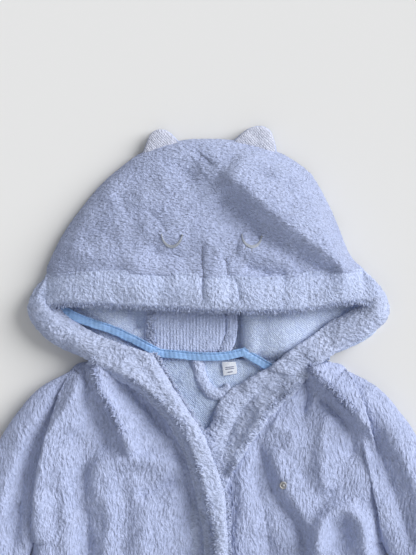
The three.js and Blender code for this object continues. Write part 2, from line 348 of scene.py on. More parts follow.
def nodes_of(name):
    material = bpy.data.materials.new(name)
    material.use_nodes = True
    tree = material.node_tree
    tree.nodes.clear()
    out = tree.nodes.new("ShaderNodeOutputMaterial")
    shader = tree.nodes.new("ShaderNodeBsdfPrincipled")
    tree.links.new(shader.outputs[0], out.inputs[0])
    return material, tree, shader


def textured(name):
    material, tree, shader = nodes_of(name)
    return material, tree, shader, tree.nodes.new("ShaderNodeTexCoord").outputs["Object"]


def noise_node(tree, coords, scale, detail=2.0, stretch=None, output="Fac"):
    source = coords
    if stretch is not None:
        mapping = tree.nodes.new("ShaderNodeMapping")
        put(mapping, Scale=stretch)
        tree.links.new(coords, mapping.inputs["Vector"])
        source = mapping.outputs[0]
    node = tree.nodes.new("ShaderNodeTexNoise")
    put(node, Scale=scale, Detail=detail)
    tree.links.new(source, node.inputs["Vector"])
    return node.outputs[output]


def ramp(tree, value, stops):
    node = tree.nodes.new("ShaderNodeValToRGB")
    elements = node.color_ramp.elements
    while len(elements) < len(stops):
        elements.new(0.5)
    for element, (place, colour) in zip(elements, stops):
        element.position = place
        element.color = (*colour, 1)
    tree.links.new(value, node.inputs[0])
    return node.outputs[0]


def mix(tree, factor, a, b):
    node = tree.nodes.new("ShaderNodeMix")
    node.data_type = "RGBA"
    node.inputs[0].default_value = factor
    tree.links.new(a, node.inputs[6])
    tree.links.new(b, node.inputs[7])
    return node.outputs[2]


def bump(tree, shader, layers):
    """Layers of (height, strength, distance in metres), each on top of the one before."""
    previous = None
    for value, strength, distance in layers:
        node = tree.nodes.new("ShaderNodeBump")
        put(node, Strength=strength, Distance=distance)
        tree.links.new(value, node.inputs["Height"])
        if previous is not None:
            tree.links.new(previous, node.inputs["Normal"])
        previous = node.outputs[0]
    tree.links.new(previous, shader.inputs["Normal"])


def set_cloth(shader, sheen):
    put(shader, Roughness=0.95, Specular_IOR_Level=0.15, Sheen_Weight=sheen, Sheen_Roughness=0.45,
        Sheen_Tint=(0.80, 0.86, 1.0, 1))


def swirled(tree, coords, scale, amount):
    """The coordinates pushed about a little, so that the pile swirls."""
    push = tree.nodes.new("ShaderNodeVectorMath")
    push.operation = "MULTIPLY_ADD"
    push.inputs[1].default_value = (amount, amount, amount)
    tree.links.new(noise_node(tree, coords, scale, 1.0, output="Color"), push.inputs[0])
    tree.links.new(coords, push.inputs[2])
    return push.outputs[0]


def shade(colour, factor):
    return tuple(min(1.0, c * factor) for c in colour)


def fleece(name, dark, light, clump, fibre, lay, depth=1.0, turn=0.022):
    """Long pile: soft patches of lighter and darker tone, painted shade between its clumps with a painted
    highlight on their tops, and fine fibres in one lay.

    clump and fibre are noise scales, lay how drawn out they are, and turn how far the pile swirls.
    """
    material, tree, shader, coords = textured(name)
    swirl = swirled(tree, coords, 32, turn)
    patches = noise_node(tree, coords, 45, 3.0)
    clumps = noise_node(tree, swirl, clump, 2.0, stretch=lay)
    fine = noise_node(tree, swirl, fibre, 3.0, stretch=lay)
    base = ramp(tree, patches, [(0.30, dark), (0.70, light)])
    # painted shade in the hollows between the clumps, darker than the dark tone, and a painted highlight on
    # the clumps' tops, lighter than the light tone
    painted_clump_shading = ramp(tree, clumps, [(0.33, shade(dark, 0.50)), (0.50, dark), (0.70, shade(light, 1.12))])
    tips = ramp(tree, fine, [(0.30, shade(dark, 0.72)), (0.70, shade(light, 1.10))])
    coloured = mix(tree, 0.5, mix(tree, 0.5, base, painted_clump_shading), tips)
    tree.links.new(coloured, shader.inputs["Base Color"])
    set_cloth(shader, 0.35)
    bump(tree, shader, [(clumps, 0.85 * depth, 0.0038), (fine, 0.70 * depth, 0.0012)])
    return material


def looped_terry(name, dark, light, direction="X", pitch=0.0022):
    """Short loops in fine ribs, pitch metres apart, with painted shade between the rows and between the
    loops.
    """
    material, tree, shader, coords = textured(name)
    patches = noise_node(tree, coords, 120, 2.0)
    spacing_at_one = 0.314 if direction == "X" else 0.63  # metres between bands at scale 1
    wave = tree.nodes.new("ShaderNodeTexWave")
    wave.wave_type = "BANDS"
    wave.bands_direction = direction
    put(wave, Scale=spacing_at_one / pitch, Distortion=2.2, Detail=2.0, Detail_Scale=2.5)
    tree.links.new(coords, wave.inputs["Vector"])
    loops = tree.nodes.new("ShaderNodeTexVoronoi")
    put(loops, Scale=560)
    tree.links.new(coords, loops.inputs["Vector"])
    base = ramp(tree, patches, [(0.3, dark), (0.7, light)])
    # ribs: painted shade in the grooves between the rows of loops, darker than the dark tone
    ribs = ramp(tree, wave.outputs["Fac"], [(0.1, shade(dark, 0.80)), (0.75, light)])
    # painted shade between the loops, and a faint painted highlight in their middles
    painted_loop_shading = ramp(tree, loops.outputs["Distance"], [(0.1, shade(light, 1.05)), (0.6, shade(dark, 0.78))])
    tree.links.new(mix(tree, 0.5, mix(tree, 0.45, base, ribs), painted_loop_shading), shader.inputs["Base Color"])
    set_cloth(shader, 0.3)
    bump(tree, shader, [(wave.outputs["Fac"], 0.35, 0.0010), (loops.outputs["Distance"], 0.7, 0.0010)])
    return material


def woven_tape(name, colour):
    material, tree, shader, coords = textured(name)
    weave = noise_node(tree, coords, 700, 2.0, stretch=(0.3, 1.6, 1.0))
    patches = noise_node(tree, coords, 60, 2.0)
    stops = [(0.3, shade(colour, 0.66)), (0.7, shade(colour, 1.35))]
    coloured = mix(tree, 0.4, ramp(tree, patches, stops), ramp(tree, weave, stops))
    tree.links.new(coloured, shader.inputs["Base Color"])
    put(shader, Roughness=0.5, Sheen_Weight=0.25)
    bump(tree, shader, [(weave, 0.3, 0.0004)])
    return material


def grained(name, dark, light, grain, detail, stretch, relief, **finish):
    """One fine noise for shade and relief; finish holds more inputs of the shader."""
    material, tree, shader, coords = textured(name)
    noise = noise_node(tree, coords, grain, detail, stretch)
    tree.links.new(ramp(tree, noise, [(0.3, dark), (0.7, light)]), shader.inputs["Base Color"])
    put(shader, **finish)
    bump(tree, shader, [(noise, *relief)])
    return material


def thread_material(name, dark, light):
    return grained(name, dark, light, 1600, 1.0, (1.0, 0.5, 1.0), (0.4, 0.0004), Roughness=0.42,
                   Sheen_Weight=0.3)


FLEECE = fleece("outer_fleece", (0.37, 0.43, 0.65), (0.53, 0.595, 0.835), clump=370, fibre=900,
                lay=(1.0, 0.42, 1.0), turn=0.013)
BAND = fleece("edge_fleece", (0.43, 0.50, 0.72), (0.58, 0.645, 0.865), clump=380, fibre=850,
              lay=(0.55, 0.8, 1.0), depth=1.1, turn=0.014)
HOOD = fleece("hood_fleece", (0.405, 0.468, 0.715), (0.575, 0.65, 0.91), clump=560, fibre=1300,
              lay=(0.42, 0.9, 1.0), depth=1.2, turn=0.005)
BRIM = fleece("brim_fleece", (0.45, 0.53, 0.79), (0.61, 0.685, 0.93), clump=430, fibre=950,
              lay=(0.8, 0.8, 1.0), turn=0.012)
TERRY = looped_terry("inner_terry", (0.40, 0.49, 0.76), (0.54, 0.63, 0.92))
LINING = looped_terry("lining_terry", (0.52, 0.64, 0.93), (0.68, 0.79, 1.0), direction="DIAGONAL")
# the inner terry again, made lighter and bluer for the hood's lower layer under the brim: painted light that
# makes up for the brim's shade there
LIGHTENED_TERRY = looped_terry("lightened_side_terry", (0.52, 0.62, 0.92), (0.70, 0.80, 1.0), direction="DIAGONAL")
RIBBED = looped_terry("ribbed_terry", (0.44, 0.52, 0.77), (0.60, 0.68, 0.94), pitch=0.0033)
EAR = looped_terry("ear_terry", (0.55, 0.58, 0.72), (0.74, 0.77, 0.90), direction="DIAGONAL",
                   pitch=0.0026)
STITCH = thread_material("stitch_thread", (0.09, 0.20, 0.46), (0.15, 0.30, 0.60))
TAPE = woven_tape("neck_tape", (0.25, 0.43, 0.74))
THREAD = thread_material("silver_thread", (0.28, 0.31, 0.37), (0.46, 0.49, 0.55))
PUCKER = thread_material("pucker_thread", (0.13, 0.15, 0.24), (0.24, 0.27, 0.40))
LABEL = grained("label_cloth", (0.62, 0.66, 0.76), (0.80, 0.83, 0.90), 1800, 1.0, (1.0, 0.3, 1.0),
                (0.3, 0.0003), Roughness=0.6)
METAL = grained("popper_metal", (0.30, 0.30, 0.31), (0.50, 0.49, 0.49), 500, 3.0, None,
                (0.2, 0.0003), Metallic=0.55, Roughness=0.42)


# ---- what each piece rides on and stands for ----

# cloth across a joint: the body that it leaves, and where the bend starts and ends
RIGHT_SIDE_BEND = ("torso", (-130, -100, 0), (-104, -100, 0))
LEFT_SIDE_BEND = ("torso", (122, -100, 0), (98, -100, 0))
NECK_BEND = ("torso", (0, -2, 0), (0, 18, 0))
EAR_BEND = ("hood", (0, 208, 0), (0, 219, 0))
LABEL_BEND = ("torso", (0, 0, 0), (0, -4, 0))
LOOP_BEND = ("torso", (0, 1, 0), (0, -7, 0))


def place(piece, body, nodes, slot, flat=None, area=None, rests=(), joined=None):
    """joined is one of the bends above, for cloth across a joint; flat and area, in millimetres, are not
    used.
    """
    if joined is None:
        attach(piece, body)
    else:
        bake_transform(piece)
    if nodes:
        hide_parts(*nodes)
    return piece


def plan_area(*outline):
    """Area inside an outline in the plan, in square millimetres."""
    p = np.array([point[:2] for point in outline], float)
    x, y = p[:, 0], p[:, 1]
    return abs(np.sum(x * np.roll(y, -1) - y * np.roll(x, -1))) / 2


def between(a, b):
    return plan_area(*[tuple(p) for p in a], *[tuple(p) for p in b[::-1]])


# ---- heights above the table and outlines ----

OVER_BAND_TOP = 23.0  # the upper front's edge band, before its roll
UNDER_BAND_TOP = 13.0  # and the under front's
HOOD_FLOOR_TOP = 3.2  # the hood's lower layer where it lies on the table
HOOD_TOP = 47.0  # nothing of the hood's upper panel is higher
STRIP_ROWS = 150  # points along each strip of the hood's lower layer
ROUTE_POINTS = 600  # points that a fringe's locks can start from


RIGHT_SIDE = [(-120, 0), (-140, -12), (-162, -74), (-174, -132), (-176, -176), (-180, -250), (-190, HEM)]
LEFT_SIDE = [(-x, y) for x, y in RIGHT_SIDE]
OVER_EDGE = [(-57, 9), (-29, -37), (-7, -72), (7, -108), (14, -133), (17, -192), (19, -330), (20, HEM)]
OVER_RIDGE = [(-117, 4), (-78, -12), (-43, -40), (-21, -69), (-7, -108), (3, -150), (9, -192), (10, HEM)]
OVER_SEAM = [(-120, 0), (-86, -17), (-53, -44), (-31, -74), (-17, -110), (-8, -150), (-3, -192), (-2, -330),
             (0, HEM)]
UNDER_EDGE = [(62, -5), (17, -33), (3, -62), (-6, -76), (-16, -120), (-20, -192), (-20, -330), (-20, HEM)]
UNDER_SEAM = [(100, -8), (88, -25), (63, -50), (38, -84), (18, -119), (9, -192), (7, -330), (6, HEM)]


# ---- body ----

def add_back():
    left = curve(LEFT_SIDE, steps(RIGHT_SIDE, 3.0))
    right = curve(RIGHT_SIDE, steps(RIGHT_SIDE, 3.0))
    grid = ruled(right, left, lambda xy: 3.0 + 0.5 * noise_at(xy, 40, 3), across=130)
    piece = cloth("back_panel_cloth", grid, 4.4, TERRY, tuft=(4.5, 0.5), seed=11)
    place(piece, "torso", ["back_panel"], "inner_terry", (380, 522), between(left, right))
    near = [(-54, 2), (-38, -36), (-16, -70), (-6, -86)]
    far = [(64, 2), (60, -20), (20, -60), (-2, -86)]
    a = curve(near, steps(near))
    b = curve(far, steps(near))
    crease = ([(-20, -6), (8, -48)], 1.8, 9)
    grid = ruled(a, b, lambda xy: 7.6 + 1.2 * noise_at(xy, 22, 8) + fold(xy, *crease))
    piece = cloth("yoke_lining", grid, 4.0, LINING, tuft=(3.0, 1.0), seed=12)
    place(piece, "torso", [], "inner_terry", (120, 90), between(a, b), rests=["back_panel_cloth"])


def hem_drop(xy, deep):
    """How far the cloth comes down at the hem, and the groove where the hem is sewn."""
    above = xy[:, 1] - HEM
    return deep * (1 - smooth(above, 0, 55)) + 1.3 * np.exp(-((above - 24) / 1.8) ** 2)


def armhole_share(where):
    """1 beside the armhole seam, where the body runs on into the sleeve, and 0 elsewhere on a side."""
    return np.sin(np.clip((where - 0.035) / 0.33, 0, 1) * math.pi) ** 0.5


# the upper front's folds: points, height, width on the left, and on the right where that differs
OVER_FOLDS = [
    ([(-117, 2), (-107, -26), (-95, -47), (-85, -71), (-77, -92)], 8.5, 13, 6),
    ([(-122, -4), (-124, -37), (-112, -62), (-100, -88)], -3.6, 6, 9),
    ([(-86, -14), (-62, -44), (-46, -76)], -2.0, 9),
    ([(-92, -22), (-62, -46), (-38, -76), (-24, -112), (-16, -150), (-12, -192), (-10, -300)], -4.5, 9, 13),
    ([(-122, -150), (-119, -116), (-106, -101), (-76, -97), (-46, -99), (-30, -104)], 4.6, 8, 14),
    ([(-123, -98), (-123, -130), (-121, -190), (-118, -300)], -5.5, 8, 12),
    ([(-72, -132), (-48, -124), (-30, -118)], -3.0, 6),
    ([(-104, -130), (-101, -160), (-106, -230)], 3.6, 13, 9),
    ([(-78, -112), (-72, -150), (-78, -210)], 2.4, 12, 8),
    ([(-119, -6), (-129, -18), (-143, -45), (-160, -71), (-168, -105), (-173, -143), (-170, -200),
      (-166, -300)], 6.5, 18, 7),
    ([(-140, -70), (-146, -110), (-142, -170), (-138, -300)], 2.8, 11, 9),
    ([(-62, -150), (-66, -200), (-58, -280), (-66, -400)], 3.4, 13, 9),
    ([(-96, -240), (-90, -330), (-100, -440), (-98, HEM)], 5.0, 16, 11),
    ([(-150, -260), (-146, -360), (-156, HEM)], 4.0, 13, 9),
    ([(-34, -300), (-40, -400), (-36, HEM)], -3.2, 10),
]


def over_height(xy):
    d, where = line_distance(xy, RIGHT_SIDE)
    z = 1.5 + 20.0 * roll(np.abs(d) + 26 * armhole_share(where), 30)
    z = add_folds(z, xy, OVER_FOLDS) + bump_at(xy, (-102, -122), 4.0, 14, 22)
    z += 1.5 * noise_at(xy, 26, 21) + 0.9 * noise_at(xy, 12, 22)
    return z - hem_drop(xy, 8)


# the under front's folds, given in the same way
UNDER_FOLDS = [
    ([(94, -4), (97, -17), (99, -36), (94, -52)], -4.5, 4, 6),
    ([(100, -2), (122, -24), (141, -43), (157, -60), (174, -68)], 9.0, 22, 8),
    ([(110, -34), (128, -50), (142, -70), (146, -96)], -5.0, 8, 9),
    ([(120, -50), (114, -72), (112, -100), (118, -130)], 4.0, 13, 7),
    ([(62, -60), (78, -70), (88, -88)], 3.0, 12),
    ([(48, -76), (57, -110), (68, -137), (86, -160), (98, -192), (102, -280)], -5.0, 6, 9),
    ([(62, -84), (72, -112), (84, -136), (100, -162), (110, -200)], 3.4, 15, 6),
    ([(106, -196), (110, -168), (118, -152), (134, -146), (147, -153), (153, -168), (158, -200)], 8.5, 8, 10),
    ([(28, -104), (33, -140), (28, -192), (26, -300)], 3.4, 11, 7),
    ([(44, -100), (52, -140), (60, -192), (60, -300)], -3.0, 9),
    ([(158, -70), (166, -100), (170, -140), (168, -220)], -3.0, 9),
    ([(86, -300), (92, -400), (88, HEM)], 5.0, 16, 11),
    ([(146, -250), (150, -380), (154, HEM)], 4.6, 14, 10),
]


def under_height(xy):
    d, where = line_distance(xy, LEFT_SIDE)
    z = 3.5 + 12.5 * roll(np.abs(d) + 24 * armhole_share(where), 28)
    z += 5.0 * armhole_share(where) * np.exp(-(d / 26) ** 2)
    shown = smooth(xy[:, 0], 14, 50)
    folds = add_folds(0, xy, UNDER_FOLDS) + bump_at(xy, (133, -178), -4.4, 8, 20)
    folds += 1.4 * noise_at(xy, 24, 31) + 0.9 * noise_at(xy, 12, 32)
    return z + shown * (folds + 2.0) - hem_drop(xy, 7)


def add_fronts():
    sides = (
        ("right", RIGHT_SIDE, [(x + 10, y) for x, y in OVER_SEAM], over_height, 41, "left_front_cloth",
         RIGHT_SIDE_BEND),
        ("left", LEFT_SIDE, [(x - 8, y) for x, y in UNDER_SEAM], under_height, 43, "back_panel_cloth",
         LEFT_SIDE_BEND),
    )
    for side, outline, inner, height, seed, below, bend in sides:
        a = curve(outline, steps(outline))
        b = curve(inner, len(a))
        grid = ruled(a, b, height, spread=near_start)
        piece = cloth(f"{side}_front_cloth", grid, 4.2, FLEECE, tuft=(3.8, 1.25), seed=seed, comb=(1, 1.5))
        place(piece, f"{side}_front", [f"{side}_front_panel", f"{side}_front_flap"], "outer_fleece",
              (190, 522), between(a, b), rests=[below], joined=bend)


def over_band_height(xy):
    d, _ = line_distance(xy, OVER_EDGE)
    z = OVER_BAND_TOP + 4.0 * roll(np.abs(d), 9)
    z -= 3.0 * (1 - smooth(line_distance(xy, OVER_RIDGE)[0], -9, 0))
    z += fold(xy, OVER_RIDGE, 4.6, 12, 6)
    z += fold(xy, [(-60, -2), (-39, -31), (-19, -58), (-1, -90), (9, -121), (14, -158), (15, -192)], 2.4, 5)
    z -= 2.5 * smooth(xy[:, 1], -40, 10) * roll(np.abs(d), 30)
    z += 1.2 * noise_at(xy, 14, 51)
    return z - hem_drop(xy, 8)


def under_band_height(xy):
    d, _ = line_distance(xy, UNDER_EDGE)
    z = UNDER_BAND_TOP + 4.0 * roll(np.abs(d), 14)
    z += fold(xy, [(92, -16), (62, -42), (38, -76), (18, -112)], 3.6, 8, 6)
    z += fold(xy, [(56, -22), (30, -52), (14, -88)], -2.4, 5)
    z += smooth(xy[:, 1], -40, 0) * 4.0
    z += 1.6 * noise_at(xy, 10, 52)
    return z - hem_drop(xy, 7)


def add_bands():
    bands = (
        ("right", OVER_SEAM, OVER_EDGE, over_band_height, 5.5, (3.6, 1.5), 61, 40),
        ("left", UNDER_SEAM, UNDER_EDGE, under_band_height, 5.0, (3.2, 1.4), 62, 38),
    )
    for side, inner, outer, height, thick, tuft, seed, wide in bands:
        seam = curve(inner, steps(inner, 1.4))
        edge = curve(outer, len(seam))
        grid = ruled(seam, edge, height, across=34)
        piece = cloth(f"{side}_front_band_cloth", grid, thick, BAND, tuft=tuft, seed=seed, comb=(1.5, 1))
        place(piece, f"{side}_front", [f"{side}_front_band"], "edge_fleece", (wide, 560),
              rests=[f"{side}_front_cloth"])


# ---- sleeves ----

TILT = math.radians(27)
SLEEVE_ALONG = np.array([-math.sin(TILT), -math.cos(TILT)])
SLEEVE_ACROSS = np.array([math.cos(TILT), -math.sin(TILT)])
SLEEVE_TOP = np.array([-209.0, -80.0])
SLEEVE_LONG = 196.0
SLEEVE_MIDDLE = 13.0  # height of its middle above the table
SLEEVE_PUFF = 10.5  # and how far its two layers stand from that
SLEEVE_LINE = 290.0  # length of its outer line, from the neck's side to the wrist
CUFF_DEEP = 38.0
CUFF_OVERLAP = 6.0  # how far the sleeve runs on inside the cuff
WRIST = 95.0


def sleeve_lines(start, end):
    """Outer and inner line of the sleeve, from start to end, each from 0 at the armhole to 1 at the wrist."""
    tip = SLEEVE_TOP + SLEEVE_ALONG * SLEEVE_LONG
    outer = curve([(-139, -11), (-167, -26), (-188, -48), SLEEVE_TOP, (SLEEVE_TOP + tip) / 2, tip], 400)
    inner_tip = tip + SLEEVE_ACROSS * WRIST
    under = np.array([-175.0, -176.0])
    inner = curve([under, under * 0.62 + inner_tip * 0.38 + (-3, 2), inner_tip], 400)
    low = int(start * 399)
    high = int(end * 399)
    return outer[low:high + 1], inner[low:high + 1]


# the sleeves' folds; the left sleeve is drawn on the right one and mirrored
LEFT_SLEEVE_FOLDS = [
    ([(-158, -66), (-176, -104), (-190, -143), (-205, -190)], -6.0, 9, 11),
    ([(-176, -62), (-197, -100), (-214, -150), (-236, -220)], 4.0, 9, 12),
    ([(-150, -30), (-172, -52), (-196, -78)], 3.0, 10),
]
RIGHT_SLEEVE_FOLDS = [
    ([(-142, -20), (-164, -60), (-182, -100), (-190, -150), (-198, -190)], -6.0, 9, 10),
    ([(-152, -26), (-180, -66), (-202, -120), (-226, -190)], 4.0, 9, 11),
    ([(-190, -140), (-206, -156), (-232, -160)], -3.0, 7),
]


def sleeve_grid(mirror, start, end, grow, seed):
    outer, inner = sleeve_lines(start, end)
    rows = max(6, int(np.linalg.norm(np.diff(outer, axis=0), axis=1).sum() / STEP))
    pick = np.linspace(0, len(outer) - 1, rows).round().astype(int)
    outer, inner = outer[pick], inner[pick]
    around = 150
    gap = 0.06  # left open at the inner line, in radians
    angle = np.linspace(-math.pi / 2 + gap, 1.5 * math.pi - gap, around)
    # flattened section: 0 at the outer line, 1 at the inner one
    across = 0.5 - 0.5 * np.sign(np.cos(angle)) * np.abs(np.cos(angle)) ** 0.85
    rise = np.sign(np.sin(angle)) * np.abs(np.sin(angle)) ** 0.75
    xy = outer[:, None, :] * (1 - across)[None, :, None] + inner[:, None, :] * across[None, :, None]
    flat = xy.reshape(-1, 2)
    along = (flat - SLEEVE_TOP) @ SLEEVE_ALONG
    side = (flat - SLEEVE_TOP) @ SLEEVE_ACROSS
    drawn_out = np.c_[along * 0.5, side]
    wave = 1.8 * noise_at(drawn_out, 24, seed) + 0.9 * noise_at(flat, 12, seed + 1)
    wave = add_folds(wave, flat, LEFT_SLEEVE_FOLDS if mirror else RIGHT_SLEEVE_FOLDS)
    upper = np.clip(np.tile(rise, rows), 0, 1)
    z = SLEEVE_MIDDLE + np.tile(rise, rows) * SLEEVE_PUFF + upper * wave
    z = z + grow * np.tile(rise, rows)
    grid = np.dstack([xy, z.reshape(rows, around)])
    if grow:
        middle = (outer + inner)[:, None, :] / 2
        grid[..., :2] = middle + (grid[..., :2] - middle) * (1 + 2 * grow / WRIST)
    if mirror:
        grid[..., 0] *= -1
    return grid


def add_sleeve(prefix, mirror):
    sign = -1 if mirror else 1
    sleeve_end = 1.0 - (CUFF_DEEP - CUFF_OVERLAP) / SLEEVE_LINE
    grid = sleeve_grid(mirror, 0.0, sleeve_end, 0.0, 71 + mirror)
    piece = cloth(f"{prefix}_sleeve_cloth", grid, 4.2, FLEECE, tuft=(3.8, 1.25), seed=73 + mirror,
                  upright=False, comb=(1, 1.5))
    both_layers = 2.2  # times the plan area, for a flattened tube with its folds
    place(piece, f"{prefix}_arm", [f"{prefix}_sleeve"], "outer_fleece", (330, 265),
          both_layers * between(*sleeve_lines(0.0, sleeve_end)),
          joined=("torso", (sign * -158, -94, 0), (sign * -190, -86, 0)))
    grid = sleeve_grid(mirror, 1.0 - CUFF_DEEP / SLEEVE_LINE, 1.0, 2.4, 75 + mirror)
    piece = cloth(f"{prefix}_cuff_cloth", grid, 5.0, BAND, tuft=(3.4, 1.3), seed=77 + mirror, upright=False)
    place(piece, f"{prefix}_arm", [f"{prefix}_cuff"], "edge_fleece", (215, 40))


# ---- hood ----

CROWN = [(-162, 88), (-161, 96), (-159, 101), (-145, 129), (-124, 158), (-103, 182), (-84, 198),
         (-64, 211), (-32, 221), (0, 223.5), (32, 221), (67, 211), (92, 197), (106, 182), (124, 147),
         (140, 108), (154, 93)]
BRIM_SEAM = [(-162, 86), (-120, 89), (-80, 90), (-10, 87), (53, 83), (102, 89), (154, 92)]
MOUTH = [(-177, 54), (-150, 62), (-116, 63), (-80, 61), (-39, 59), (5, 57), (53, 56), (90, 57), (126, 63),
         (150, 65), (177, 56)]


MUZZLE_LEFT = [(-6, 117), (-6.4, 104), (-5.6, 88), (-6, 73)]
MUZZLE_RIGHT = [(17, 105), (18, 98), (20, 85), (27, 73)]

# the folds of the hood's upper panel
HOOD_FOLDS = [
    ([(14, 192), (38, 173), (63, 152), (92, 129), (120, 108), (144, 92)], 10.8, 27, 15),
    ([(8, 172), (28, 146), (48, 127), (78, 107), (106, 97), (134, 88)], -7.8, 15, 24),
    ([(60, 196), (86, 180), (112, 150), (134, 112)], 2.0, 16, 14),
    ([(28, 116), (54, 109), (84, 97)], 4.6, 12, 8),
    ([(34, 96), (54, 90), (78, 87)], -3.4, 6),
    ([(-30, 188), (-10, 200), (16, 196)], -1.0, 9),
    ([(-96, 160), (-70, 178), (-36, 188), (-8, 184)], -3.0, 13),
    ([(-66, 140), (-52, 128), (-20, 126)], 1.6, 8),
    ([(-60, 152), (-50, 142), (-44, 132)], -1.0, 3.5),
    ([(-60, 112), (-30, 106), (-4, 110)], -2.0, 7),
    ([(-142, 112), (-104, 104), (-60, 100)], 2.2, 10),
    (MUZZLE_LEFT, -1.0, 2.0),
    (MUZZLE_RIGHT, -1.0, 2.0),
]


def hood_height(xy):
    d, _ = line_distance(xy, CROWN)
    z = 5 + 29 * roll(np.abs(d), 95) ** 0.9
    z += 3.0 * roll(np.abs(d), 14) - 2
    folds = add_folds(0, xy, HOOD_FOLDS) + bump_at(xy, (6, 98), 1.6, 9, 18)
    folds += 1.5 * noise_at(xy, 24, 81) + 0.7 * noise_at(xy, 11, 82)
    z += folds * (0.15 + 0.85 * smooth(np.abs(d), 2, 18))
    return np.minimum(z, HOOD_TOP)


def brim_height(xy):
    """From the hood's own height at the seam, over a full roll, to the arch of the mouth."""
    side = np.clip(np.abs(xy[:, 0]) / 179, 0, 1)
    arch = 12 + 19 * np.sqrt(np.maximum(1 - side ** 2.6, 0))
    seam = curve(BRIM_SEAM, 60)
    start = np.interp(xy[:, 0], seam[:, 0], hood_height(seam))
    d, _ = line_distance(xy, BRIM_SEAM)
    t = np.clip(np.abs(d) / 34, 0, 1)
    z = start * (1 - t) + arch * t + 4.2 * np.sin(t * math.pi)
    z += 1.3 * noise_at(xy, 22, 84)
    for x, y, deep in ((-98, 66, -0.5), (-52, 60, -0.7), (70, 58, -0.4)):
        z += fold(xy, [(x, y + 16), (x + 3, y), (x + 1, y - 18)], deep, 4)
    z += fold(xy, [(-6, 90), (-6.5, 74), (-5, 62)], -1.5, 3.2)
    z += fold(xy, [(26, 84), (29, 72), (31, 62)], -1.4, 3.2)
    return z


def add_hood():
    crown = curve(CROWN, steps(CROWN))
    seam = curve(BRIM_SEAM, len(crown))
    grid = ruled(crown, seam, hood_height, across=92, spread=near_start)
    piece = cloth("hood_face_cloth", grid, 4.2, HOOD, tuft=(2.9, 0.75), seed=91, comb=(1.5, 1))
    place(piece, "hood", ["hood_face_panel"], "outer_fleece", (330, 150), between(crown, seam),
          rests=["hood_back_right_cloth"])
    mouth = curve(MOUTH, steps(MOUTH, 1.4))
    upper = curve([(x, y + 1.5) for x, y in BRIM_SEAM], len(mouth))
    grid = ruled(upper, mouth, brim_height, across=30)
    swell = np.linspace(3.6, 8.0, grid.shape[1]) * np.ones(grid.shape[:2])
    piece = cloth("hood_brim_cloth", grid, swell, BRIM, tuft=(3.4, 1.3), seed=93, comb=(1.3, 1))
    place(piece, "hood", ["hood_brim"], "edge_fleece", (356, 36), between(upper, mouth),
          rests=["hood_face_cloth"])


def strip_seam(x):
    """The straight run of a strip of the hood's back, from the neck to under the crown."""
    return curve([(x, 1), (x, 60), (x, 120), (x, 208)], STRIP_ROWS)


def add_hood_back():
    low, high = -62, 27  # the gusset's edges
    left_outline = [(low - 2, 1), (-116, 2), (-122, 8), (-145, 17), (-163, 28), (-174, 42), (-177, 55),
                    (-172, 70), (-161, 90), (-143, 128), (-122, 156), (-102, 180), (-64, 208)]
    right_outline = [(-x, y) for x, y in left_outline[:8]]
    right_outline += [(152, 92), (138, 108), (121, 148), (104, 180), (64, 208)]

    def floor(xy):
        raised = smooth(xy[:, 1], -2, 14) * (1 - smooth(xy[:, 1], 60, 110))
        raised = raised * (1 - smooth(np.abs(xy[:, 0]), 90, 150))
        return HOOD_FLOOR_TOP + 7.0 * raised + 0.9 * noise_at(xy, 26, 95)

    def right_floor(xy):
        under_gusset = -6 * smooth(xy[:, 0], -60, -54)
        return add_folds(floor(xy) + under_gusset, xy, [
            ([(-78, 66), (-75, 46), (-71, 32)], -5.0, 7),
            ([(-126, 76), (-104, 52), (-90, 34)], 2.4, 13),
        ])

    def left_floor(xy):
        x = xy[:, 0]
        under_gusset = -7.6 * (1 - smooth(x, 31, 37)) + 2.4 * np.exp(-((x - 43) / 6) ** 2)
        return floor(xy) + under_gusset + bump_at(xy, (72, 32), 9.0, 34, 34)

    def gusset(xy):
        edge = np.minimum(xy[:, 0] - low, high - xy[:, 0])
        sway = 2.4 * noise_at(xy, 16, 99)
        ribs = 0.22 * np.sin(xy[:, 0] * 2 * math.pi / 3.3 + sway) + 0.5 * noise_at(xy, 5, 94)
        seam = [(3, 5), (11, 13), (15.5, 24), (17, 38), (17, 110)]
        rolled = -1.2 * np.exp(-np.maximum(edge, 0) / 4)
        return floor(xy) + 3.0 + ribs + fold(xy, seam, -1.8, 1.7) + rolled

    left = [(low - 1, 2), (low - 1, 60), (low + 2, 120), (low + 6, 216)]
    right = [(high - 17, 2), (high - 8, 10), (high - 2, 21), (high, 36), (high, 60), (high, 120),
             (high - 6, 216)]
    outer = curve([(max(x, high + 6), y) for x, y in right_outline], STRIP_ROWS)
    strips = (
        ("right", curve(left_outline, STRIP_ROWS), strip_seam(low + 10), right_floor, 74, 3.6, LIGHTENED_TERRY,
         (2.6, 0.9), 96, None, (118, 208)),
        ("left", strip_seam(high - 14), outer, left_floor, 88, 3.6, LIGHTENED_TERRY,
         (2.6, 0.9), 97, None, (150, 208)),
        ("gusset", curve(left, STRIP_ROWS), curve(right, STRIP_ROWS), gusset, 90, 3.4, RIBBED,
         (2.2, 0.4), 98, (0.8, 2), (92, 216)),
    )
    for side, a, b, height, across, thick, material, tuft, seed, comb, flat in strips:
        grid = ruled(a, b, height, across=across)
        piece = cloth(f"hood_back_{side}_cloth", grid, thick, material, tuft=tuft, seed=seed, comb=comb)
        place(piece, "hood", [f"hood_back_{side}"], "inner_terry", flat, joined=NECK_BEND)


